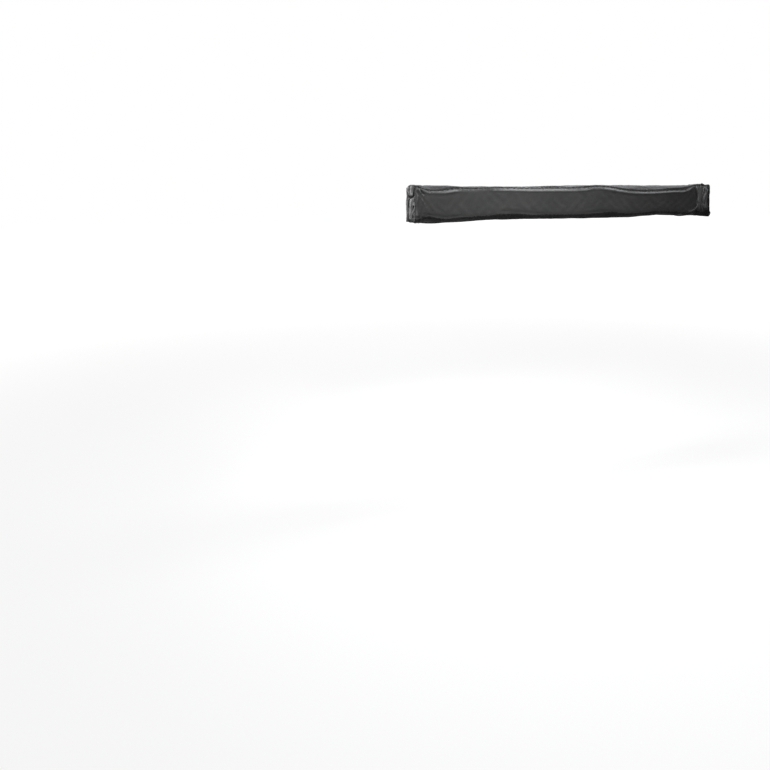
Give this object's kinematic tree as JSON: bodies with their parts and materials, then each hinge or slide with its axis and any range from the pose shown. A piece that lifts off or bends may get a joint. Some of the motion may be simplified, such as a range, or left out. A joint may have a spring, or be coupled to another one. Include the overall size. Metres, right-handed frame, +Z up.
{
  "type": "vehicle side awning",
  "caption": "Fan-type side awning for a roof rack, stowed in a long zipped cloth bag: backing rail on brackets, swinging arms, folding telescopic legs, folded canopy.",
  "frame": {"origin": "middle of the backing rail's back face", "axes": "+X along the rail to its hub end, which is the vehicle's rear; -Y away from the vehicle; +Z up"},
  "size_m": [1.9172, 0.2333, 0.1778],
  "materials": {
    "rail_aluminium": "extruded, satin",
    "tube_aluminium": "drawn tube, satin",
    "cast_black": "cast, black powder coat",
    "bracket_black": "steel, black powder coat",
    "bright_steel": "zinc plated",
    "black_plastic": "moulded",
    "foot_rubber": "moulded",
    "canopy_cloth": "coated ripstop",
    "bag_cloth": "coated cloth with a soft sheen"
  },
  "bodies": {
    "mount": {"backing_rail": "rail_aluminium", "front_end_cap": "black_plastic", "rear_end_cap": "black_plastic", "hub_bracket": "cast_black", "front_bracket": "bracket_black", "rear_bracket": "bracket_black", "front_bracket_bolt": "bright_steel", "rear_bracket_bolt": "bright_steel", "zip_strip": "bag_cloth", "arm_1_pin": "bright_steel"},
    "arm_1": {"arm_1_knuckle": "cast_black", "arm_1_tube": "tube_aluminium", "arm_1_tip": "cast_black", "canopy_panel_1": "canopy_cloth", "leg_1_pin": "bright_steel", "arm_2_pin": "bright_steel"},
    "leg_1": {"leg_1_outer": "tube_aluminium", "leg_1_collar": "black_plastic"},
    "leg_1_lower": {"leg_1_inner": "tube_aluminium", "leg_1_foot": "foot_rubber"},
    "leg_1_clamp": {"leg_1_knob": "black_plastic"},
    "arm_2": {"arm_2_knuckle": "cast_black", "arm_2_tube": "tube_aluminium", "arm_2_tip": "cast_black", "canopy_panel_2": "canopy_cloth", "leg_2_pin": "bright_steel", "arm_3_pin": "bright_steel"},
    "leg_2": {"leg_2_outer": "tube_aluminium", "leg_2_collar": "black_plastic"},
    "leg_2_lower": {"leg_2_inner": "tube_aluminium", "leg_2_foot": "foot_rubber"},
    "leg_2_clamp": {"leg_2_knob": "black_plastic"},
    "arm_3": {"arm_3_knuckle": "cast_black", "arm_3_tube": "tube_aluminium", "arm_3_tip": "cast_black", "canopy_panel_3": "canopy_cloth", "leg_3_pin": "bright_steel", "arm_4_pin": "bright_steel"},
    "leg_3": {"leg_3_outer": "tube_aluminium", "leg_3_collar": "black_plastic"},
    "leg_3_lower": {"leg_3_inner": "tube_aluminium", "leg_3_foot": "foot_rubber"},
    "leg_3_clamp": {"leg_3_knob": "black_plastic"},
    "arm_4": {"arm_4_knuckle": "cast_black", "arm_4_tube": "tube_aluminium", "arm_4_tip": "cast_black", "canopy_panel_4": "canopy_cloth", "leg_4_pin": "bright_steel"},
    "leg_4": {"leg_4_outer": "tube_aluminium", "leg_4_collar": "black_plastic"},
    "leg_4_lower": {"leg_4_inner": "tube_aluminium", "leg_4_foot": "foot_rubber"},
    "leg_4_clamp": {"leg_4_knob": "black_plastic"},
    "bag_bottom": {"bag_bottom": "bag_cloth"},
    "bag_front": {"bag_front": "bag_cloth"},
    "bag_top": {"bag_top": "bag_cloth"},
    "bag_front_end": {"bag_front_end": "bag_cloth"},
    "bag_rear_end": {"bag_rear_end": "bag_cloth"},
    "zip_slider": {"zip_slider": "black_plastic"}
  },
  "joints": [
    {"name": "awning_swing", "type": "hinge", "parent": "mount", "child": "arm_1", "pos_m": [0.9378, -0.0338, 0], "axis": [0, 0, 1], "range_deg": [0, 67.5], "deforming": ["canopy_panel_1", "canopy_panel_2", "canopy_panel_3", "canopy_panel_4", "bag_bottom", "bag_front", "bag_top", "bag_front_end", "bag_rear_end"]},
    {"name": "arm_2_swing", "type": "hinge", "parent": "arm_1", "child": "arm_2", "pos_m": [0.9378, -0.0608, 0], "axis": [0, 0, 1], "range_deg": [0, 67.5]},
    {"name": "arm_3_swing", "type": "hinge", "parent": "arm_2", "child": "arm_3", "pos_m": [0.9378, -0.0878, 0], "axis": [0, 0, 1], "range_deg": [0, 67.5]},
    {"name": "arm_4_swing", "type": "hinge", "parent": "arm_3", "child": "arm_4", "pos_m": [0.9378, -0.1148, 0], "axis": [0, 0, 1], "range_deg": [0, 67.5]},
    {"name": "leg_1_fold", "type": "hinge", "parent": "arm_1", "child": "leg_1", "pos_m": [-0.9005, -0.0473, -0.0435], "axis": [0, 1, 0], "range_deg": [0, 90]},
    {"name": "leg_1_slide", "type": "slide", "parent": "leg_1", "child": "leg_1_lower", "axis": [1, 0, 0], "range_m": [0, 0.7]},
    {"name": "leg_1_knob_turn", "type": "hinge", "parent": "leg_1", "child": "leg_1_clamp", "pos_m": [0.0065, -0.0473, -0.0435], "axis": [0, 0, -1], "range_deg": [-270, 0]},
    {"name": "leg_2_fold", "type": "hinge", "parent": "arm_2", "child": "leg_2", "pos_m": [-0.9005, -0.0743, -0.0435], "axis": [0, 1, 0], "range_deg": [0, 90]},
    {"name": "leg_2_slide", "type": "slide", "parent": "leg_2", "child": "leg_2_lower", "axis": [1, 0, 0], "range_m": [0, 0.7]},
    {"name": "leg_2_knob_turn", "type": "hinge", "parent": "leg_2", "child": "leg_2_clamp", "pos_m": [0.0065, -0.0743, -0.0435], "axis": [0, 0, -1], "range_deg": [-270, 0]},
    {"name": "leg_3_fold", "type": "hinge", "parent": "arm_3", "child": "leg_3", "pos_m": [-0.9005, -0.1013, -0.0435], "axis": [0, 1, 0], "range_deg": [0, 90]},
    {"name": "leg_3_slide", "type": "slide", "parent": "leg_3", "child": "leg_3_lower", "axis": [1, 0, 0], "range_m": [0, 0.7]},
    {"name": "leg_3_knob_turn", "type": "hinge", "parent": "leg_3", "child": "leg_3_clamp", "pos_m": [0.0065, -0.1013, -0.0435], "axis": [0, 0, -1], "range_deg": [-270, 0]},
    {"name": "leg_4_fold", "type": "hinge", "parent": "arm_4", "child": "leg_4", "pos_m": [-0.9005, -0.1283, -0.0435], "axis": [0, 1, 0], "range_deg": [0, 90]},
    {"name": "leg_4_slide", "type": "slide", "parent": "leg_4", "child": "leg_4_lower", "axis": [1, 0, 0], "range_m": [0, 0.7]},
    {"name": "leg_4_knob_turn", "type": "hinge", "parent": "leg_4", "child": "leg_4_clamp", "pos_m": [0.0065, -0.1283, -0.0435], "axis": [0, 0, -1], "range_deg": [-270, 0]},
    {"name": "bag_bottom_fold", "type": "hinge", "parent": "mount", "child": "bag_bottom", "pos_m": [0, -0.006, -0.066], "axis": [1, 0, 0], "range_deg": [0, 90]},
    {"name": "bag_front_fold", "type": "hinge", "parent": "bag_bottom", "child": "bag_front", "pos_m": [0, -0.1473, -0.06], "axis": [1, 0, 0], "range_deg": [0, 90]},
    {"name": "bag_top_fold", "type": "hinge", "parent": "bag_front", "child": "bag_top", "pos_m": [0, -0.1473, 0.065], "axis": [1, 0, 0], "range_deg": [0, 90]},
    {"name": "bag_front_end_fold", "type": "hinge", "parent": "bag_front", "child": "bag_front_end", "pos_m": [-0.95485, -0.1448, 0], "axis": [0, 0, -1], "range_deg": [0, 90]},
    {"name": "bag_rear_end_fold", "type": "hinge", "parent": "bag_front", "child": "bag_rear_end", "pos_m": [0.95485, -0.1448, 0], "axis": [0, 0, 1], "range_deg": [0, 90]},
    {"name": "zip_slide", "type": "slide", "parent": "mount", "child": "zip_slider", "axis": [-1, 0, 0], "range_m": [0, 1.832]}
  ],
  "couplings": [
    {"joint": "arm_2_swing", "follows": "awning_swing", "ratio": 1},
    {"joint": "arm_3_swing", "follows": "awning_swing", "ratio": 1},
    {"joint": "arm_4_swing", "follows": "awning_swing", "ratio": 1},
    {"joint": "leg_1_fold", "follows": "awning_swing", "ratio": 1.3333},
    {"joint": "leg_1_slide", "follows": "awning_swing", "m_per_rad": 0.59418},
    {"joint": "leg_2_fold", "follows": "awning_swing", "ratio": 1.3333},
    {"joint": "leg_2_slide", "follows": "awning_swing", "m_per_rad": 0.59418},
    {"joint": "leg_3_fold", "follows": "awning_swing", "ratio": 1.3333},
    {"joint": "leg_3_slide", "follows": "awning_swing", "m_per_rad": 0.59418},
    {"joint": "leg_4_fold", "follows": "awning_swing", "ratio": 1.3333},
    {"joint": "leg_4_slide", "follows": "awning_swing", "m_per_rad": 0.59418},
    {"joint": "bag_bottom_fold", "follows": "awning_swing", "ratio": 1.3333},
    {"joint": "bag_front_fold", "follows": "awning_swing", "ratio": 1.3333},
    {"joint": "bag_top_fold", "follows": "awning_swing", "ratio": 1.3333},
    {"joint": "bag_front_end_fold", "follows": "awning_swing", "ratio": 1.3333},
    {"joint": "bag_rear_end_fold", "follows": "awning_swing", "ratio": 1.3333}
  ]
}
